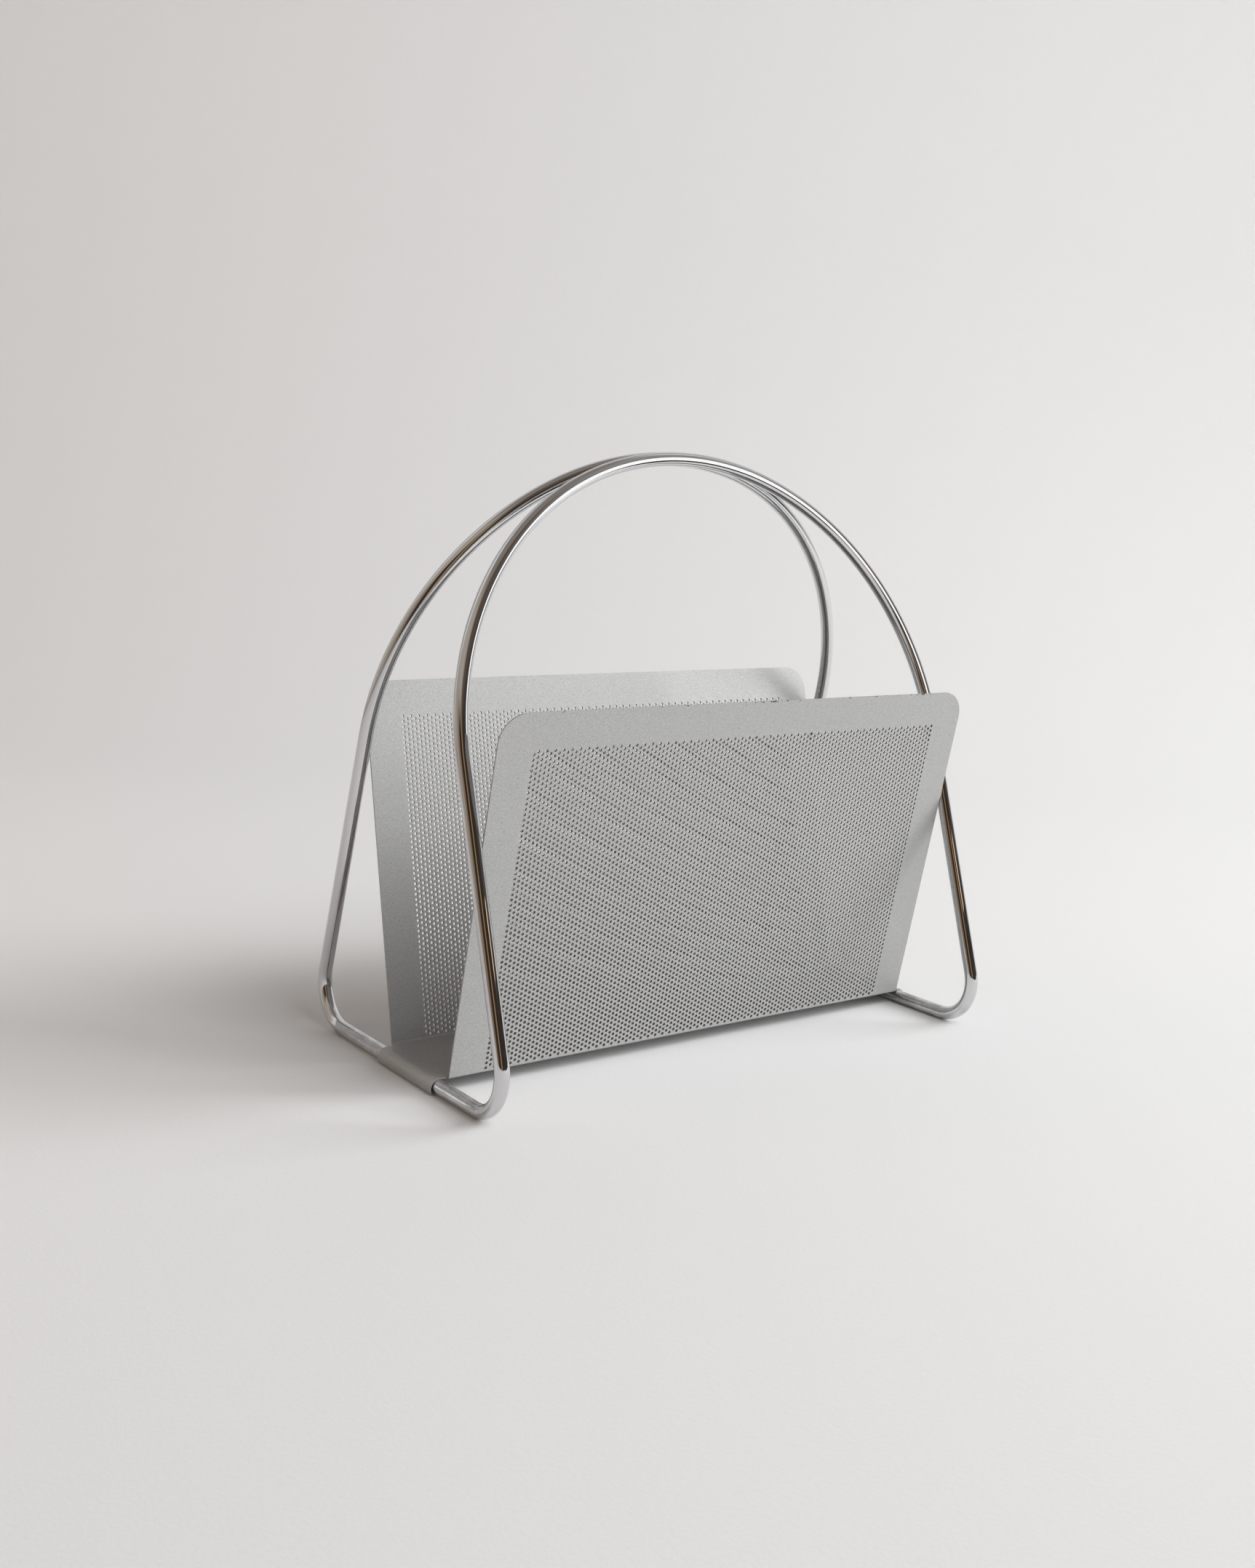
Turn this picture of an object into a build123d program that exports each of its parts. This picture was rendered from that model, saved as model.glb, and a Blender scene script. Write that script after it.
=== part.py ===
from build123d import *

import os
from math import atan2, cos, degrees, hypot, radians, sin, sqrt, tan

# Free-standing magazine rack: two leaning chromed tube hoops and one folded sheet-metal basket.
# The origin is on the floor, in the middle of the four feet. X runs along the panels, +Y to the rear
# and +Z up. All sizes are in millimetres.

# Tube of both hoops
tube_diameter = 10.0
tube_wall = 1.0

# Hoops: legs, arch and feet
hoop_width = 420.0
hoop_rise = 418.0
foot_spread = 270.0
bend_radius = 30.0
handle_gap = 0.2

# Joint between the hoops in the middle of each run on the floor
joint_gap = 0.2
spigot_length = 60.0
spigot_clearance = 0.1
spigot_chamfer = 0.8

# Basket sheet
sheet = 0.8
base_depth = 80.0
panel_slant = 254.0
panel_lean = 12.0
panel_corner_radius = 20.0
fold_radius = 1.2
panel_end_clearance = 0.5

# Curls that hook the basket over the runs
seat_gap = 0.1
curl_clearance = 0.9
curl_wrap = 125.0
curl_inset = 3.0

# The basket slides on the runs and stands this far in front of their middle
basket_forward = 10.0

# Sizes that follow from the ones above
tube_radius = tube_diameter / 2
bore_radius = tube_radius - tube_wall
arch_radius = hoop_width / 2
hoop_top_y = tube_radius + handle_gap / 2
hoop_inset = foot_spread / 2 - hoop_top_y
hoop_slant = hypot(hoop_inset, hoop_rise)
hoop_lean = degrees(atan2(hoop_inset, hoop_rise))
bend_tangent = bend_radius * tan(radians(90 + hoop_lean) / 2)
leg_length = hoop_slant - arch_radius
base_underside = tube_diameter + seat_gap

# The panels pass between the legs. Where a panel crosses a hoop in its arch, the panels are shorter.
near_fold_y = base_depth / 2 - abs(basket_forward)
lean_slope = tan(radians(panel_lean))
crossing_gap = foot_spread / 2 - near_fold_y - lean_slope * (tube_radius - base_underside)
crossing = crossing_gap / (sin(radians(hoop_lean)) + lean_slope * cos(radians(hoop_lean)))
crossing_spread = (tube_radius + sheet) / sin(radians(hoop_lean + panel_lean))
rise_into_arch = max(0.0, crossing + crossing_spread - leg_length)
crossing_half_width = sqrt(arch_radius**2 - rise_into_arch**2)
panel_length = 2 * (crossing_half_width - tube_radius - panel_end_clearance)

# Curls and panels
curl_radius = tube_radius + curl_clearance
curl_centre_z = base_underside - curl_radius
curl_length = base_depth - 2 * curl_inset
panel_rise = panel_slant * cos(radians(panel_lean))
panel_reach = panel_slant * sin(radians(panel_lean))

os.makedirs("parts", exist_ok=True)


def make_hoop(side):
    """Bend one tube: run, foot, leg, arch, leg, foot and run. side is -1 in front and +1 behind."""
    leg = Vector(0, -side * sin(radians(hoop_lean)), cos(radians(hoop_lean)))
    run = Vector(0, side, 0)
    half_width = Vector(hoop_width / 2, 0, 0)
    corner = Vector(0, side * foot_spread / 2, tube_radius)
    run_end = Vector(0, side * joint_gap / 2, tube_radius)
    bend_start = corner - run * bend_tangent
    bend_end = corner + leg * bend_tangent
    arch_start = corner + leg * leg_length
    arch_top = corner + leg * hoop_slant
    with BuildPart() as hoop:
        with BuildLine() as route:
            Line(run_end - half_width, bend_start - half_width)
            TangentArc(bend_start - half_width, bend_end - half_width, tangent=run)
            Line(bend_end - half_width, arch_start - half_width)
            ThreePointArc(arch_start - half_width, arch_top, arch_start + half_width)
            Line(arch_start + half_width, bend_end + half_width)
            TangentArc(bend_end + half_width, bend_start + half_width, tangent=leg * -1)
            Line(bend_start + half_width, run_end + half_width)
        with BuildSketch(Plane(origin=route.line @ 0, z_dir=route.line % 0)):
            Circle(tube_radius)
            Circle(bore_radius, mode=Mode.SUBTRACT)
        sweep(path=route.line)
    return hoop.part


def make_spigot(side):
    """Turn the plug that joins the two hoops end to end. side is -1 at the left and +1 at the right."""
    middle = Plane(origin=(side * hoop_width / 2, 0, tube_radius), z_dir=(0, 1, 0))
    with BuildPart() as spigot:
        with BuildSketch(middle):
            Circle(bore_radius - spigot_clearance)
        extrude(amount=spigot_length / 2, both=True)
        chamfer(spigot.edges().filter_by(GeomType.CIRCLE), length=spigot_chamfer)
    return spigot.part


# Basket: base and leaning panels folded from one sheet, with a curl at each end of the base
basket_middle = (0, -basket_forward, 0)
with BuildPart() as basket:
    with BuildSketch(Plane(origin=basket_middle, x_dir=(0, 1, 0), z_dir=(1, 0, 0))):
        with BuildLine():
            FilletPolyline(
                (-base_depth / 2 - panel_reach, base_underside + panel_rise),
                (-base_depth / 2, base_underside),
                (base_depth / 2, base_underside),
                (base_depth / 2 + panel_reach, base_underside + panel_rise),
                radius=fold_radius + sheet,
            )
            offset(amount=sheet, side=Side.LEFT)
        make_face()
    extrude(amount=panel_length / 2, both=True)
    upper_edges = basket.edges().filter_by(lambda edge: edge.center().Z > base_underside + panel_rise / 2)
    fillet(upper_edges.filter_by(lambda edge: edge.length < 2 * sheet), radius=panel_corner_radius)

    with BuildSketch(Plane(origin=basket_middle, x_dir=(1, 0, 0), z_dir=(0, -1, 0))):
        with BuildLine():
            tongue_start = (panel_length / 2 - 2 * curl_radius, base_underside)
            tongue_end = (hoop_width / 2, base_underside)
            Line(tongue_start, tongue_end)
            CenterArc((hoop_width / 2, curl_centre_z), curl_radius, 90, -curl_wrap)
            offset(amount=sheet, side=Side.LEFT)
        make_face()
        mirror(about=Plane.YZ)
    extrude(amount=curl_length / 2, both=True)

basket.part.label = "basket"
export_step(basket.part, "parts/basket.step")

for name, side in (("front_hoop", -1), ("rear_hoop", 1)):
    hoop_part = make_hoop(side)
    hoop_part.label = name
    export_step(hoop_part, f"parts/{name}.step")

for name, side in (("left_joint_spigot", -1), ("right_joint_spigot", 1)):
    spigot_part = make_spigot(side)
    spigot_part.label = name
    export_step(spigot_part, f"parts/{name}.step")
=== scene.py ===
from math import atan2, cos, hypot, pi, radians, sin, tan

import bpy
import numpy as np
from mathutils import Matrix, Vector


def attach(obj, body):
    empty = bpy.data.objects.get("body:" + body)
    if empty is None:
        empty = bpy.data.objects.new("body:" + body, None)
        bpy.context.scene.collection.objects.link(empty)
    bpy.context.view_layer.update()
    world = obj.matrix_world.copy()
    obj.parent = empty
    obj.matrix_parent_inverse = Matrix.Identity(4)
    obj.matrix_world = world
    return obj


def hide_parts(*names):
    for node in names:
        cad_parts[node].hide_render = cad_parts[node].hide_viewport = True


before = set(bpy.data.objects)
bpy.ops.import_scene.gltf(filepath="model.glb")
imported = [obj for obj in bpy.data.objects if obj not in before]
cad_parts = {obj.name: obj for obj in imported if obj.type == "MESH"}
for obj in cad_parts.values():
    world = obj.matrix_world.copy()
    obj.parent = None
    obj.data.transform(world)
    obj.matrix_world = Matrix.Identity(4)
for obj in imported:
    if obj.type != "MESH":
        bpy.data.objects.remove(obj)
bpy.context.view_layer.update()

# Sizes are in millimetres, as in the CAD model, and meshes are written in metres
MM = 0.001

# Hoops
tube_radius = 5.0
bore_radius = 4.0
hoop_width = 420.0
hoop_rise = 418.0
foot_spread = 270.0
bend_radius = 30.0
handle_gap = 0.2
joint_gap = 0.2
tube_sides = 64
arch_steps = 144
bend_steps = 36
straight_steps = 6

# Basket. The panels are drawn thicker than the base's sheet, so that the walls of their holes show.
sheet = 0.8
panel_sheet_depth = 1.2
base_depth = 80.0
base_underside = 10.1
panel_length = 409.0
panel_slant = 254.0
panel_lean = radians(12.0)
corner_radius = 20.0
fold_radius = 2.0
curl_radius = 5.9
curl_wrap = radians(125.0)
curl_length = 74.0
basket_forward = 10.0
fold_steps = 12
curl_steps = 30
corner_steps = 24

# Perforation: staggered columns of round holes
hole_radius = 1.11
hole_sides = 12
row_pitch = 3.71
column_pitch = 3.19
columns = 112
rows = 61
strips_per_panel = 3

# Places closer than this are taken as the same
tolerance = 0.01

# Sizes that follow from the ones above
hoop_inset = foot_spread / 2 - tube_radius - handle_gap / 2
hoop_slant = hypot(hoop_inset, hoop_rise)
hoop_lean = atan2(hoop_inset, hoop_rise)
arch_radius = hoop_width / 2
leg_length = hoop_slant - arch_radius
bend_angle = pi / 2 + hoop_lean
bend_tangent = bend_radius * tan(bend_angle / 2)
fold_angle = pi / 2 - panel_lean
fold_tangent = fold_radius * tan(fold_angle / 2)
curl_centre_z = base_underside - curl_radius
field_left = (panel_length - columns * column_pitch) / 2
field_bottom = fold_tangent


def add_mesh(name, points, faces, material, body, nodes):
    """Make a smooth-shaded piece from points in millimetres, on a body, in place of some nodes."""
    sharp_angle = radians(35.0)
    mesh = bpy.data.meshes.new(name)
    mesh.from_pydata(np.asarray(points) * MM, [], faces)
    mesh.polygons.foreach_set("use_smooth", np.ones(len(mesh.polygons), dtype=bool))
    mesh.set_sharp_from_angle(angle=sharp_angle)
    mesh.materials.append(material)
    piece = bpy.data.objects.new(name, mesh)
    bpy.context.scene.collection.objects.link(piece)
    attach(piece, body)
    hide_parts(*nodes)
    return piece


# Hoops

def half_route(side):
    """Points and directions along the left half of a hoop, from the middle of the run to the arch's top."""
    run = np.array([0.0, side, 0.0])
    rise = np.array([0.0, 0.0, 1.0])
    leg = np.array([0.0, -side * sin(hoop_lean), cos(hoop_lean)])
    across = np.array([1.0, 0.0, 0.0])
    corner = np.array([-hoop_width / 2, side * foot_spread / 2, tube_radius])
    run_start = np.array([-hoop_width / 2, side * joint_gap / 2, tube_radius])
    bend_start = corner - run * bend_tangent
    bend_end = corner + leg * bend_tangent
    arch_start = corner + leg * leg_length
    arch_centre = arch_start + across * arch_radius
    route = []
    for step in np.linspace(0.0, 1.0, straight_steps, endpoint=False):
        route.append((run_start + (bend_start - run_start) * step, run))
    for angle in np.linspace(0.0, bend_angle, bend_steps, endpoint=False):
        point = bend_start + bend_radius * (run * sin(angle) + rise * (1 - cos(angle)))
        route.append((point, run * cos(angle) + rise * sin(angle)))
    for step in np.linspace(0.0, 1.0, straight_steps, endpoint=False):
        route.append((bend_end + (arch_start - bend_end) * step, leg))
    for angle in np.linspace(0.0, pi / 2, arch_steps // 2 + 1):
        point = arch_centre + arch_radius * (leg * sin(angle) - across * cos(angle))
        route.append((point, leg * cos(angle) + across * sin(angle)))
    return route


def hoop_route(side):
    """The whole hoop: the left half, then its mirror image run backwards."""
    left = half_route(side)
    mirror = np.array([-1.0, 1.0, 1.0])
    right = [(point * mirror, -direction * mirror) for point, direction in reversed(left[:-1])]
    return left + right


def make_hoop(name, side, material):
    """Sweep the tube along its route, with its bore and its two cut ends."""
    route = hoop_route(side)
    count = len(route)
    turn = np.linspace(0.0, 2 * pi, tube_sides, endpoint=False)
    round_x = np.cos(turn)
    round_y = np.sin(turn)
    normal = np.array([1.0, 0.0, 0.0])
    along = 0.0
    outer = []
    inner = []
    straight = []
    for index, (point, direction) in enumerate(route):
        if index:
            along += np.linalg.norm(point - route[index - 1][0])
        normal = normal - direction * np.dot(normal, direction)
        normal = normal / np.linalg.norm(normal)
        binormal = np.cross(direction, normal)
        ring = round_x[:, None] * normal + round_y[:, None] * binormal
        outer.append(point + ring * tube_radius)
        inner.append(point + ring * bore_radius)
        straight.append(np.stack([round_x, round_y, np.full(tube_sides, along)], axis=1))
    faces = []
    bore = count * tube_sides
    for ring in range(count - 1):
        for side_index in range(tube_sides):
            after = (side_index + 1) % tube_sides
            low = ring * tube_sides
            high = low + tube_sides
            bore_low = bore + low
            bore_high = bore + high
            faces.append((low + side_index, low + after, high + after, high + side_index))
            faces.append(
                (bore_low + side_index, bore_high + side_index, bore_high + after, bore_low + after)
            )
    last = (count - 1) * tube_sides
    for side_index in range(tube_sides):
        after = (side_index + 1) % tube_sides
        faces.append((side_index, bore + side_index, bore + after, after))
        faces.append((last + side_index, last + after, bore + last + after, bore + last + side_index))
    points = np.concatenate(outer + inner)
    piece = add_mesh(f"{name}_tube", points, faces, material, "frame", [name])
    route_attribute = piece.data.attributes.new("route", "FLOAT_VECTOR", "POINT")
    straight = np.concatenate(straight + straight)
    straight[:, :2] *= tube_radius
    route_attribute.data.foreach_set("vector", (straight * MM).astype(np.float32).ravel())
    return piece


# Basket

def thicken(name, flat, points, inward, triangles, material, hole_edge=0.0):
    """Close one side of the sheet into a solid: that side, the other side inward of it, and edge walls.

    flat holds the unfolded sheet, from which both sides and the walls get their place in the piece's UV map.
    inward leads from each point to the other side. Walls along edges shorter than hole_edge are marked as
    the walls of holes.
    """
    count = len(points)
    starts = triangles.ravel()
    ends = np.roll(triangles, -1, axis=1).ravel()
    free = ~np.isin(starts.astype(np.int64) * count + ends, ends.astype(np.int64) * count + starts)
    edge_start = starts[free]
    edge_end = ends[free]
    edge = flat[edge_end] - flat[edge_start]
    edge_out = np.stack([edge[:, 1], -edge[:, 0]], axis=1)
    edge_out /= np.linalg.norm(edge_out, axis=1, keepdims=True)
    out = np.zeros_like(flat)
    np.add.at(out, edge_start, edge_out)
    np.add.at(out, edge_end, edge_out)
    out /= np.maximum(np.linalg.norm(out, axis=1, keepdims=True), 1e-9)

    walls = np.stack([edge_start, edge_start + count, edge_end + count, edge_end], axis=1)
    faces = triangles.tolist() + (triangles[:, ::-1] + count).tolist() + walls.tolist()
    both_sides = np.concatenate([points, points + inward])
    piece = add_mesh(name, both_sides, faces, material, "basket", ["basket"])
    hole_wall = np.zeros(len(faces), dtype=np.float32)
    hole_wall[2 * len(triangles):] = np.linalg.norm(edge, axis=1) < hole_edge
    piece.data.attributes.new("hole_wall", "FLOAT", "FACE").data.foreach_set("value", hole_wall)

    wall_reach = 0.5
    island_gap = 3.0
    low = flat.min(axis=0) - island_gap / 2
    size = flat.max(axis=0) + island_gap / 2 - low
    beside = np.array([size[0], 0.0]) if size[0] < size[1] else np.array([0.0, size[1]])
    brim = flat + out * wall_reach
    wall_map = np.stack([flat[edge_start], brim[edge_start], brim[edge_end], flat[edge_end]], axis=1)
    sides = [flat[triangles].reshape(-1, 2), (flat[triangles[:, ::-1]] + beside).reshape(-1, 2)]
    spread = (np.concatenate(sides + [wall_map.reshape(-1, 2)]) - low) / (size + beside)
    bake_map = piece.data.uv_layers.new(name="OFBake")
    bake_map.data.foreach_set("uv", spread.astype(np.float32).ravel())
    return piece


def ring_triangles(inner_angles, outer_angles):
    """Triangles between an inner loop, numbered first, and an outer loop, both sorted by angle."""
    inner_count = len(inner_angles)
    outer_count = len(outer_angles)
    triangles = []
    inner = 0
    outer = 0
    while inner < inner_count or outer < outer_count:
        next_inner = inner_angles[(inner + 1) % inner_count] + 2 * pi * ((inner + 1) // inner_count)
        next_outer = outer_angles[(outer + 1) % outer_count] + 2 * pi * ((outer + 1) // outer_count)
        inner_here = inner % inner_count
        outer_here = inner_count + outer % outer_count
        if outer >= outer_count or (inner < inner_count and next_inner < next_outer):
            triangles.append((inner_here, outer_here, (inner + 1) % inner_count))
            inner += 1
        else:
            triangles.append((inner_here, outer_here, inner_count + (outer + 1) % outer_count))
            outer += 1
    return np.array(triangles)


def column_edge(column):
    """Where a column of holes begins, along the panel."""
    return field_left + column * column_pitch


def level(half_rows):
    """Height up the panel, counted in half rows from the bottom of the perforated field."""
    return field_bottom + half_rows * row_pitch / 2


def hole_cells(first, last):
    """Sheet round each hole of some columns: one cell per hole, with points shared between neighbours."""
    column = []
    half_row = []
    for index in range(first, last):
        column.append(np.full(rows, index))
        half_row.append(np.arange(rows) * 2 + 1 + index % 2)
    column = np.concatenate(column)
    half_row = np.concatenate(half_row)
    left = column_edge(column)
    right = column_edge(column + 1)
    middle = column_edge(column + 0.5)
    below = level(half_row - 1)
    centre = level(half_row)
    above = level(half_row + 1)
    corners = [(right, centre), (right, above), (left, above), (left, centre), (left, below), (right, below)]
    turn = (np.arange(hole_sides) + 0.5) * 2 * pi / hole_sides
    round_points = [(middle + hole_radius * cos(a), centre + hole_radius * sin(a)) for a in turn]
    cell = np.stack([np.stack(point, axis=1) for point in round_points + corners], axis=1)
    corner_turn = np.arctan2(
        [0.0, row_pitch, row_pitch, 0.0, -row_pitch, -row_pitch],
        [column_pitch, column_pitch, -column_pitch, -column_pitch, -column_pitch, column_pitch],
    )
    pattern = ring_triangles(turn, np.mod(corner_turn, 2 * pi))
    size = hole_sides + len(corners)
    triangles = pattern[None] + (np.arange(len(cell)) * size)[:, None, None]
    return cell.reshape(-1, 2), triangles.reshape(-1, 3)


def panel_sheet(first, last):
    """Unfolded sheet of the columns first to last, with the plain border above, below and beside them."""
    corner_start = panel_slant - corner_radius
    field_top = level(2 * rows + 1)
    rectangles = []
    for column in range(first, last):
        filler = (level(2 * rows), field_top) if column % 2 == 0 else (level(0), level(1))
        for low, high in (filler, (field_top, corner_start), (corner_start, panel_slant)):
            rectangles.append((column_edge(column), low, column_edge(column + 1), high))
    side_levels = [level(half) for half in range(2 * rows + 2)] + [corner_start]
    ends = []
    if first == 0:
        ends.append((0.0, column_edge(0), 1.0))
    if last == columns:
        ends.append((panel_length, column_edge(columns), -1.0))
    points, triangles = hole_cells(first, last)
    parts = [points]
    indices = [triangles]
    total = len(points)
    for edge, field_edge, _ in ends:
        for low, high in zip(side_levels, side_levels[1:]):
            rectangles.append((min(edge, field_edge), low, max(edge, field_edge), high))
    for left, low, right, high in rectangles:
        parts.append(np.array([(left, low), (right, low), (right, high), (left, high)]))
        indices.append(np.array([(0, 1, 2), (0, 2, 3)]) + total)
        total += 4
    for edge, field_edge, toward in ends:
        turn = np.linspace(0.0, pi / 2, corner_steps + 1)
        arc_u = edge + toward * corner_radius * (1 - np.sin(turn))
        arc_v = corner_start + corner_radius * np.cos(turn)
        fan = [(field_edge, corner_start), (field_edge, panel_slant), *zip(arc_u, arc_v)]
        spokes = np.array([(0, k, k + 1) for k in range(1, len(fan) - 1)])
        parts.append(np.array(fan))
        indices.append((spokes if toward > 0 else spokes[:, ::-1]) + total)
        total += len(fan)
    points = np.concatenate(parts)
    triangles = np.concatenate(indices)
    merge_step = 0.001
    rounded = np.round(points / merge_step)
    _, kept, merged = np.unique(rounded, axis=0, return_index=True, return_inverse=True)
    return points[kept], merged.reshape(-1)[triangles]


def make_panel(name, side, material):
    """Raise the unfolded panel to its lean, in strips side by side. side is -1 in front and +1 behind."""
    cuts = [round(columns * strip / strips_per_panel) for strip in range(strips_per_panel + 1)]
    inward = panel_sheet_depth * np.array([0.0, -side * cos(panel_lean), sin(panel_lean)])
    for strip, (first, last) in enumerate(zip(cuts, cuts[1:])):
        flat, triangles = panel_sheet(first, last)
        u = flat[:, 0]
        v = flat[:, 1]
        x = -side * (u - panel_length / 2)
        y = -basket_forward + side * (base_depth / 2 + v * sin(panel_lean))
        z = base_underside + v * cos(panel_lean)
        points = np.stack([x, y, z], axis=1)
        inwards = np.tile(inward, (len(points), 1))
        thicken(f"{name}_{strip + 1}", flat, points, inwards, triangles, material, hole_radius)


def fold_section():
    """Across the base from fold to fold: unfolded place, y, z and the direction into the sheet."""
    flat_half = base_depth / 2 - fold_tangent
    section = []
    for angle in np.linspace(fold_angle, 0.0, fold_steps + 1):
        y = -flat_half - fold_radius * sin(angle)
        z = base_underside + fold_radius * (1 - cos(angle))
        section.append((-flat_half - fold_radius * angle, y, z, sin(angle), cos(angle)))
    for y in np.linspace(-curl_length / 2, 0.0, 5):
        section.append((y, y, base_underside, 0.0, 1.0))
    mirrored = [(-place, -y, z, -ny, nz) for place, y, z, ny, nz in reversed(section[:-1])]
    return section + mirrored


def curl_section():
    """Along the base from curl tip to curl tip: unfolded place, x, z and the direction into the sheet."""
    section = []
    for angle in np.linspace(curl_wrap, 0.0, curl_steps + 1):
        x = -hoop_width / 2 - curl_radius * sin(angle)
        z = curl_centre_z + curl_radius * cos(angle)
        section.append((-hoop_width / 2 - curl_radius * angle, x, z, -sin(angle), cos(angle)))
    for x in np.linspace(-panel_length / 2, 0.0, 12):
        section.append((x, x, base_underside, 0.0, 1.0))
    mirrored = [(-place, -x, z, -nx, nz) for place, x, z, nx, nz in reversed(section[:-1])]
    return section + mirrored


def make_base(material):
    """Base, both folds and both curls: a grid of the unfolded sheet, with the corner cells cut away."""
    along = curl_section()
    across = fold_section()
    numbers = {}
    flat = []
    points = []
    inward = []
    triangles = []

    def corner(i, j):
        if (i, j) not in numbers:
            place_x, x, curl_z, nx, nz = along[i]
            place_y, y, fold_z, ny, fold_nz = across[j]
            curled = abs(x) > panel_length / 2 + tolerance
            numbers[i, j] = len(points)
            flat.append((-place_x, place_y))
            points.append((x, y - basket_forward, curl_z if curled else fold_z))
            depth = panel_sheet_depth if abs(place_y) > curl_length / 2 + tolerance else sheet
            inward.append((nx * sheet, 0.0, nz * sheet) if curled else (0.0, ny * depth, fold_nz * depth))
        return numbers[i, j]

    for i in range(len(along) - 1):
        on_base = max(abs(along[i][0]), abs(along[i + 1][0])) < panel_length / 2 + tolerance
        for j in range(len(across) - 1):
            on_tongue = max(abs(across[j][0]), abs(across[j + 1][0])) < curl_length / 2 + tolerance
            if on_base or on_tongue:
                square = corner(i + 1, j), corner(i, j), corner(i, j + 1), corner(i + 1, j + 1)
                triangles.append((square[0], square[1], square[2]))
                triangles.append((square[0], square[2], square[3]))
    thicken(
        "basket_base", np.array(flat), np.array(points), np.array(inward), np.array(triangles), material
    )


# Materials

def new_material(name):
    """A node material, with its tree and its main shader."""
    material = bpy.data.materials.new(name)
    material.use_nodes = True
    tree = material.node_tree
    return material, tree, tree.nodes["Principled BSDF"]


def noise(tree, vector, scale, detail=2.0, roughness=0.5):
    """A noise texture read at the given coordinates."""
    node = tree.nodes.new("ShaderNodeTexNoise")
    node.inputs["Scale"].default_value = scale
    node.inputs["Detail"].default_value = detail
    node.inputs["Roughness"].default_value = roughness
    tree.links.new(vector, node.inputs["Vector"])
    return node.outputs["Fac"]


def remap(tree, value, low, high, new_low, new_high, smooth=False):
    """Stretch a value from one range to another, clamped."""
    node = tree.nodes.new("ShaderNodeMapRange")
    node.interpolation_type = "SMOOTHSTEP" if smooth else "LINEAR"
    tree.links.new(value, node.inputs["Value"])
    for socket, number in zip(("From Min", "From Max", "To Min", "To Max"), (low, high, new_low, new_high)):
        node.inputs[socket].default_value = number
    return node.outputs["Result"]


def calculate(tree, operation, *values):
    """A math node on two or three values, each a socket or a number."""
    node = tree.nodes.new("ShaderNodeMath")
    node.operation = operation
    for socket, value in zip(node.inputs, values):
        if isinstance(value, (int, float)):
            socket.default_value = value
        else:
            tree.links.new(value, socket)
    return node.outputs["Value"]


def mix_colours(tree, factor, first, second):
    """Mix two colours, each a socket or a triple."""
    node = tree.nodes.new("ShaderNodeMix")
    node.data_type = "RGBA"
    tree.links.new(factor, node.inputs["Factor"])
    for socket, value in zip((node.inputs[6], node.inputs[7]), (first, second)):
        if isinstance(value, tuple):
            socket.default_value = (*value, 1.0)
        else:
            tree.links.new(value, socket)
    return node.outputs[2]


def bump(tree, shader, height, distance, strength=1.0):
    """Give a shader a bump from a height."""
    node = tree.nodes.new("ShaderNodeBump")
    node.inputs["Distance"].default_value = distance
    node.inputs["Strength"].default_value = strength
    tree.links.new(height, node.inputs["Height"])
    tree.links.new(node.outputs["Normal"], shader.inputs["Normal"])


def chrome_material():
    """Polished chrome plate with faint draw lines, dull and streaky where it stands on the floor."""
    plate = (0.68, 0.68, 0.69)
    worn_plate = (0.40, 0.385, 0.37)
    worn_below = 0.009
    clean_above = 0.022
    line_scale = 900.0
    smudge_scale = 60.0
    material, tree, shader = new_material("chromed_tube")
    route = tree.nodes.new("ShaderNodeAttribute")
    route.attribute_name = "route"
    stretch = tree.nodes.new("ShaderNodeVectorMath")
    stretch.operation = "MULTIPLY"
    stretch.inputs[1].default_value = (1.0, 1.0, 0.03)
    tree.links.new(route.outputs["Vector"], stretch.inputs[0])
    lines = noise(tree, stretch.outputs["Vector"], line_scale, detail=3.0, roughness=0.6)
    smudge = noise(tree, route.outputs["Vector"], smudge_scale, detail=4.0, roughness=0.6)
    scuffs = remap(tree, calculate(tree, "MULTIPLY", lines, smudge), 0.20, 0.38, 0.0, 1.0)
    place = tree.nodes.new("ShaderNodeSeparateXYZ")
    tree.links.new(tree.nodes.new("ShaderNodeTexCoord").outputs["Object"], place.inputs["Vector"])
    near_floor = remap(tree, place.outputs["Z"], worn_below, clean_above, 1.0, 0.0, smooth=True)
    wear = calculate(tree, "MULTIPLY", near_floor, scuffs)
    shader.inputs["Metallic"].default_value = 1.0
    tree.links.new(mix_colours(tree, wear, plate, worn_plate), shader.inputs["Base Color"])
    polish = remap(tree, scuffs, 0.0, 1.0, 0.02, 0.10)
    tree.links.new(calculate(tree, "MULTIPLY_ADD", wear, 0.22, polish), shader.inputs["Roughness"])
    bump(tree, shader, lines, 0.000005)
    return material


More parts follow.
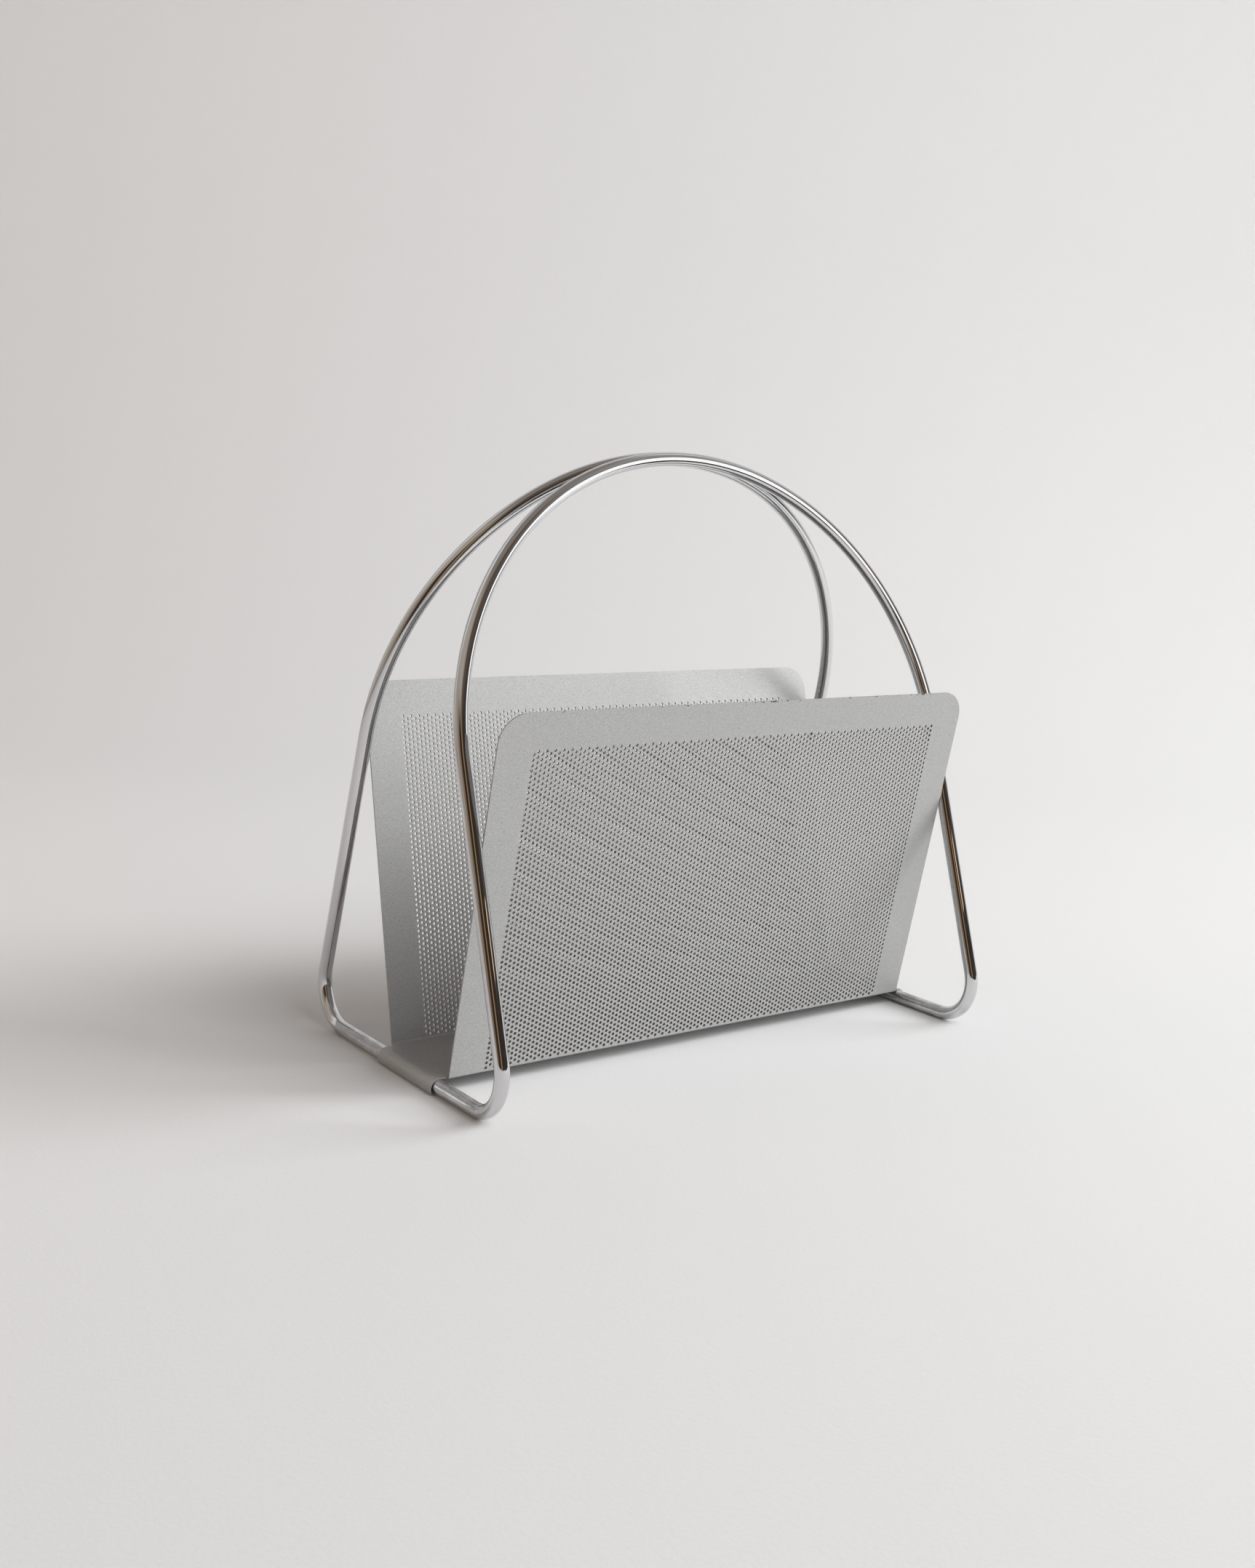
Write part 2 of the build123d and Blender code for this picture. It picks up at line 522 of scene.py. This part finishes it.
def paint_material():
    """Silver-grey powder coat: fine speckle, orange peel, slight clouds, chips on the upper edges, and
    painted shade on the walls of the holes.
    """
    dark_flake = (0.29, 0.29, 0.287)
    light_flake = (0.50, 0.50, 0.494)
    cloud = (0.37, 0.366, 0.356)
    bare_metal = (0.07, 0.055, 0.045)
    # Painted shade: a dark colour for the walls of the holes, standing in for the shade inside them
    painted_hole_shade = (0.090, 0.080, 0.070)
    chips_from = 0.2574
    chips_full = 0.2582
    rear_chips = 0.12
    speckle_scale = 1500.0
    cloud_scale = 9.0
    chip_scale = 130.0
    material, tree, shader = new_material("silver_paint")
    place = tree.nodes.new("ShaderNodeTexCoord").outputs["Object"]
    speckle = noise(tree, place, speckle_scale, detail=2.0, roughness=0.7)
    clouds = noise(tree, place, cloud_scale, detail=3.0, roughness=0.5)
    flakes = remap(tree, speckle, 0.30, 0.70, 0.0, 1.0)
    coat = mix_colours(tree, flakes, dark_flake, light_flake)
    shade = remap(tree, clouds, 0.3, 0.7, 0.0, 0.25)
    coat = mix_colours(tree, shade, coat, cloud)
    axes = tree.nodes.new("ShaderNodeSeparateXYZ")
    tree.links.new(place, axes.inputs["Vector"])
    upper_edge = remap(tree, axes.outputs["Z"], chips_from, chips_full, 0.0, 1.0)
    front = remap(tree, axes.outputs["Y"], -0.02, 0.02, 1.0, rear_chips)
    chip_noise = remap(tree, noise(tree, place, chip_scale, detail=4.0, roughness=0.7), 0.57, 0.60, 0.0, 1.0)
    chips = calculate(tree, "MULTIPLY", calculate(tree, "MULTIPLY", upper_edge, front), chip_noise)
    coat = mix_colours(tree, chips, coat, bare_metal)
    # Painted shade: the walls of the holes are darkened, in place of the shade that falls inside them
    hole_wall = tree.nodes.new("ShaderNodeAttribute")
    hole_wall.attribute_name = "hole_wall"
    coat = mix_colours(tree, hole_wall.outputs["Fac"], coat, painted_hole_shade)
    tree.links.new(coat, shader.inputs["Base Color"])
    shader.inputs["Metallic"].default_value = 0.28
    tree.links.new(remap(tree, speckle, 0.3, 0.7, 0.56, 0.44), shader.inputs["Roughness"])
    bump(tree, shader, speckle, 0.00006, 0.6)
    return material


def steel_material():
    """Turned steel of the hidden plugs, with fine rings along their length."""
    groove = (0.42, 0.41, 0.40)
    ridge = (0.56, 0.55, 0.54)
    ring_scale = 3000.0
    material, tree, shader = new_material("turned_steel")
    place = tree.nodes.new("ShaderNodeTexCoord").outputs["Object"]
    squash = tree.nodes.new("ShaderNodeVectorMath")
    squash.operation = "MULTIPLY"
    squash.inputs[1].default_value = (0.02, 1.0, 0.02)
    tree.links.new(place, squash.inputs[0])
    rings = noise(tree, squash.outputs["Vector"], ring_scale, detail=2.0, roughness=0.6)
    shader.inputs["Metallic"].default_value = 1.0
    tree.links.new(mix_colours(tree, rings, groove, ridge), shader.inputs["Base Color"])
    tree.links.new(remap(tree, rings, 0.3, 0.7, 0.25, 0.45), shader.inputs["Roughness"])
    bump(tree, shader, rings, 0.00002)
    return material


def paper_material():
    """Pale seamless paper of the floor and backdrop."""
    dark_fibre = (0.765, 0.765, 0.765)
    light_fibre = (0.79, 0.79, 0.79)
    fibre_scale = 350.0
    material, tree, shader = new_material("paper")
    place = tree.nodes.new("ShaderNodeTexCoord").outputs["Object"]
    fibres = noise(tree, place, fibre_scale, detail=4.0, roughness=0.6)
    tree.links.new(mix_colours(tree, fibres, dark_fibre, light_fibre), shader.inputs["Base Color"])
    shader.inputs["Roughness"].default_value = 0.85
    bump(tree, shader, fibres, 0.0001)
    return material


# The object

chrome = chrome_material()
paint = paint_material()
steel = steel_material()
hoops = [make_hoop("front_hoop", -1, chrome), make_hoop("rear_hoop", 1, chrome)]
make_base(paint)
make_panel("front_panel", -1, paint)
make_panel("rear_panel", 1, paint)
for spigot in ("left_joint_spigot", "right_joint_spigot"):
    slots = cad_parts[spigot].data.materials
    slots.clear()
    slots.append(steel)

# Camera at the photograph's viewpoint

image_width = 1725.0
image_height = 2156.0
focal_pixels = 2306.7
principal_point = (918.3, 973.3)
camera_place = Vector((-0.74182, -0.97675, 0.39175))
camera_yaw = radians(37.252)
camera_pitch = radians(6.968)
camera_roll = radians(2.461)


def make_camera():
    """The photograph's camera, from its yaw, pitch and roll."""
    data = bpy.data.cameras.new("camera")
    data.sensor_fit = "VERTICAL"
    data.sensor_height = 36.0
    data.sensor_width = 36.0
    data.lens = focal_pixels * data.sensor_height / image_height
    data.shift_x = (image_width / 2 - principal_point[0]) / image_height
    data.shift_y = (principal_point[1] - image_height / 2) / image_height
    data.clip_start = 0.01
    data.clip_end = 60.0
    camera = bpy.data.objects.new("camera", data)
    level_right = Vector((cos(camera_yaw), -sin(camera_yaw), 0.0))
    forward = Vector(
        (sin(camera_yaw) * cos(camera_pitch), cos(camera_yaw) * cos(camera_pitch), -sin(camera_pitch))
    )
    level_up = level_right.cross(forward)
    right = level_right * cos(camera_roll) + level_up * sin(camera_roll)
    up = level_up * cos(camera_roll) - level_right * sin(camera_roll)
    turn = Matrix((right, up, -forward)).transposed().to_4x4()
    camera.matrix_world = Matrix.Translation(camera_place) @ turn
    bpy.context.scene.collection.objects.link(camera)
    bpy.context.scene.camera = camera


# Stage and light

pale = (0.80, 0.80, 0.79)


def make_backdrop(material):
    """Seamless paper: a floor that sweeps up into a wall behind the object, square to the camera."""
    wall_distance = 2.0
    sweep_radius = 0.9
    floor_reach = 6.0
    wall_height = 4.0
    half_width = 6.0
    sweep_steps = 40
    profile = [(-floor_reach, 0.0)]
    for angle in np.linspace(0.0, pi / 2, sweep_steps):
        away = wall_distance - sweep_radius * (1 - sin(angle))
        profile.append((away, sweep_radius * (1 - cos(angle))))
    profile.append((wall_distance, wall_height))
    points = []
    for away, height in profile:
        for across in (-half_width, half_width):
            x = away * sin(camera_yaw) + across * cos(camera_yaw)
            y = away * cos(camera_yaw) - across * sin(camera_yaw)
            points.append((x, y, height))
    faces = [(2 * k, 2 * k + 1, 2 * k + 3, 2 * k + 2) for k in range(len(profile) - 1)]
    mesh = bpy.data.meshes.new("backdrop")
    mesh.from_pydata(points, [], faces)
    mesh.polygons.foreach_set("use_smooth", np.ones(len(faces), dtype=bool))
    mesh.materials.append(material)
    backdrop = bpy.data.objects.new("backdrop", mesh)
    bpy.context.scene.collection.objects.link(backdrop)
    return backdrop


def make_haze(backdrop):
    """Pale haze before the far paper, so that every side has a plain background. It gives no light."""
    clear_centre = 0.8
    clear_radius = 1.9
    full_radius = 2.9
    offset = 0.002
    material, tree, _ = new_material("haze")
    material.cycles.emission_sampling = "NONE"
    place = tree.nodes.new("ShaderNodeVectorMath")
    place.operation = "SUBTRACT"
    place.inputs[1].default_value = (clear_centre * sin(camera_yaw), clear_centre * cos(camera_yaw), 0.0)
    tree.links.new(tree.nodes.new("ShaderNodeTexCoord").outputs["Object"], place.inputs[0])
    flat = tree.nodes.new("ShaderNodeVectorMath")
    flat.operation = "MULTIPLY"
    flat.inputs[1].default_value = (1.0, 1.0, 0.0)
    tree.links.new(place.outputs["Vector"], flat.inputs[0])
    distance = tree.nodes.new("ShaderNodeVectorMath")
    distance.operation = "LENGTH"
    tree.links.new(flat.outputs["Vector"], distance.inputs[0])
    glow = tree.nodes.new("ShaderNodeEmission")
    glow.inputs["Color"].default_value = (*pale, 1.0)
    veil = tree.nodes.new("ShaderNodeMixShader")
    density = remap(tree, distance.outputs["Value"], clear_radius, full_radius, 0.0, 1.0, smooth=True)
    tree.links.new(density, veil.inputs["Fac"])
    tree.links.new(tree.nodes.new("ShaderNodeBsdfTransparent").outputs["BSDF"], veil.inputs[1])
    tree.links.new(glow.outputs["Emission"], veil.inputs[2])
    tree.links.new(veil.outputs["Shader"], tree.nodes["Material Output"].inputs["Surface"])
    mesh = backdrop.data.copy()
    mesh.materials[0] = material
    haze = bpy.data.objects.new("haze", mesh)
    haze.location = (-offset * sin(camera_yaw), -offset * cos(camera_yaw), offset)
    haze.visible_diffuse = False
    haze.visible_glossy = False
    haze.visible_transmission = False
    haze.visible_shadow = False
    bpy.context.scene.collection.objects.link(haze)


def make_flag(start, end, height):
    """A dark card on edge at the right, which only shows as dark lines in the chrome."""
    card = (0.05, 0.045, 0.04)
    points = [(*start, 0.0), (*end, 0.0), (*end, height), (*start, height)]
    mesh = bpy.data.meshes.new("flag")
    mesh.from_pydata(points, [], [(0, 1, 2, 3)])
    material, _, shader = new_material("dark_card")
    shader.inputs["Base Color"].default_value = (*card, 1.0)
    shader.inputs["Roughness"].default_value = 0.9
    mesh.materials.append(material)
    flag = bpy.data.objects.new("flag", mesh)
    flag.visible_camera = False
    flag.visible_diffuse = False
    flag.visible_shadow = False
    bpy.context.scene.collection.objects.link(flag)


def make_light(name, place, target, size, power, colour=(1.0, 1.0, 1.0), spread=180.0, mirrored=False):
    """A soft light aimed at a point. It lights all but the hoops, or is only mirrored in the hoops."""
    data = bpy.data.lights.new(name, "AREA")
    data.shape = "RECTANGLE"
    data.size = size[0]
    data.size_y = size[1]
    data.energy = power
    data.color = colour
    data.spread = radians(spread)
    light = bpy.data.objects.new(name, data)
    light.location = place
    light.rotation_euler = (Vector(target) - Vector(place)).to_track_quat("-Z", "Y").to_euler()
    light.visible_camera = False
    receivers = bpy.data.collections.new(f"{name}_receivers")
    for hoop in hoops:
        receivers.objects.link(hoop)
    for receiver in receivers.collection_objects:
        receiver.light_linking.link_state = "INCLUDE" if mirrored else "EXCLUDE"
    light.light_linking.receiver_collection = receivers
    bpy.context.scene.collection.objects.link(light)


def colour_ring(tree, azimuth, colours):
    """Colours round the room, from the back over the left, the front and the right to the back again."""
    ramp = tree.nodes.new("ShaderNodeValToRGB")
    tree.links.new(remap(tree, azimuth, -pi, pi, 0.0, 1.0), ramp.inputs["Fac"])
    stops = ramp.color_ramp.elements
    while len(stops) < len(colours):
        stops.new(0.5)
    for stop, (degrees_round, colour) in zip(stops, colours):
        stop.position = (degrees_round + 180) / 360
        stop.color = (*colour, 1.0)
    return ramp.outputs["Color"]


def make_room():
    """The room that the chrome mirrors, low and high, and the soft fill that falls on everything else."""
    paper = (0.85, 0.85, 0.84)
    beige_wall = (0.42, 0.36, 0.30)
    brown_wall = (0.27, 0.20, 0.145)
    dark_room = (0.04, 0.028, 0.019)
    dim_room = (0.13, 0.122, 0.115)
    shelf = (0.38, 0.24, 0.13)
    grey_wall = (0.20, 0.20, 0.195)
    upper_wall = (0.46, 0.41, 0.355)
    upper_dark = (0.12, 0.088, 0.065)
    upper_grey = (0.33, 0.32, 0.31)
    ceiling = (0.26, 0.235, 0.21)
    high_from = 0.42
    high_full = 0.57
    ceiling_from = 0.80
    ceiling_full = 0.93
    fill_front = (1.18, 1.18, 1.18)
    fill_sides = (0.15, 0.11, 0.08)
    fill_above = (0.02, 0.02, 0.02)
    low = [
        (-180, paper), (-142, paper), (-130, beige_wall), (-92, beige_wall), (-82, brown_wall),
        (-68, brown_wall), (-58, dark_room), (-34, dark_room), (-29, shelf), (-21, shelf),
        (-16, dark_room), (12, dark_room), (80, dim_room), (108, grey_wall), (120, paper), (180, paper),
    ]
    high = [
        (-180, paper), (-142, paper), (-116, upper_wall), (-50, upper_wall), (-22, upper_dark),
        (24, upper_dark), (42, upper_grey), (62, upper_grey), (86, paper), (180, paper),
    ]
    world = bpy.data.worlds.new("room")
    bpy.context.scene.world = world
    world.use_nodes = True
    tree = world.node_tree
    direction = tree.nodes.new("ShaderNodeTexCoord").outputs["Generated"]
    split = tree.nodes.new("ShaderNodeSeparateXYZ")
    tree.links.new(direction, split.inputs["Vector"])
    height = split.outputs["Z"]
    forwards = calculate(tree, "MULTIPLY", split.outputs["Y"], -1.0)
    azimuth = calculate(tree, "ARCTAN2", split.outputs["X"], forwards)
    low_ring = colour_ring(tree, azimuth, low)
    high_ring = colour_ring(tree, azimuth, high)
    upwards = remap(tree, height, high_from, high_full, 0.0, 1.0, smooth=True)
    overhead = remap(tree, height, ceiling_from, ceiling_full, 0.0, 1.0, smooth=True)
    mirrored = mix_colours(tree, upwards, low_ring, high_ring)
    mirrored = mix_colours(tree, overhead, mirrored, ceiling)
    fill = mix_colours(tree, remap(tree, forwards, 0.2, 1.0, 0.0, 1.0), fill_sides, fill_front)
    fill = mix_colours(tree, remap(tree, height, 0.0, 1.0, 0.0, 1.0), fill, fill_above)
    ray = tree.nodes.new("ShaderNodeLightPath")
    room = mix_colours(tree, ray.outputs["Is Glossy Ray"], fill, mirrored)
    room = mix_colours(tree, ray.outputs["Is Camera Ray"], room, pale)
    tree.links.new(room, tree.nodes["Background"].inputs["Color"])


make_camera()
make_haze(make_backdrop(paper_material()))
make_room()
make_flag(start=(0.18, -1.05), end=(0.62, -0.48), height=0.27)
make_light(
    "window", place=(1.5, -1.9, 1.5), target=(0.0, 0.0, 0.2), size=(1.0, 2.2), power=10.6
)
make_light(
    "far_window", place=(4.0, -1.5, 2.0), target=(0.6, 0.8, 0.6), size=(3.0, 3.0), power=64.0,
    colour=(0.98, 1.0, 1.01), spread=80.0
)
make_light(
    "skylight", place=(0.3, -1.8, 2.2), target=(0.0, 0.0, 0.2), size=(1.5, 1.5), power=31.0
)
make_light(
    "warm_wall", place=(-2.0, 1.2, 1.6), target=(-0.2, 0.2, 0.0), size=(1.6, 1.6), power=7.0,
    colour=(1.25, 0.95, 0.75)
)
make_light(
    "softbox", place=(0.31, -0.37, 0.50), target=(0.0, 0.0, 0.50), size=(0.20, 0.32), power=0.27,
    mirrored=True
)
make_light(
    "wood", place=(0.33, -0.95, 0.38), target=(0.2, -0.1, 0.38), size=(0.20, 0.10), power=0.07,
    colour=(1.0, 0.72, 0.5), mirrored=True
)
bpy.context.scene.view_settings.view_transform = "Standard"
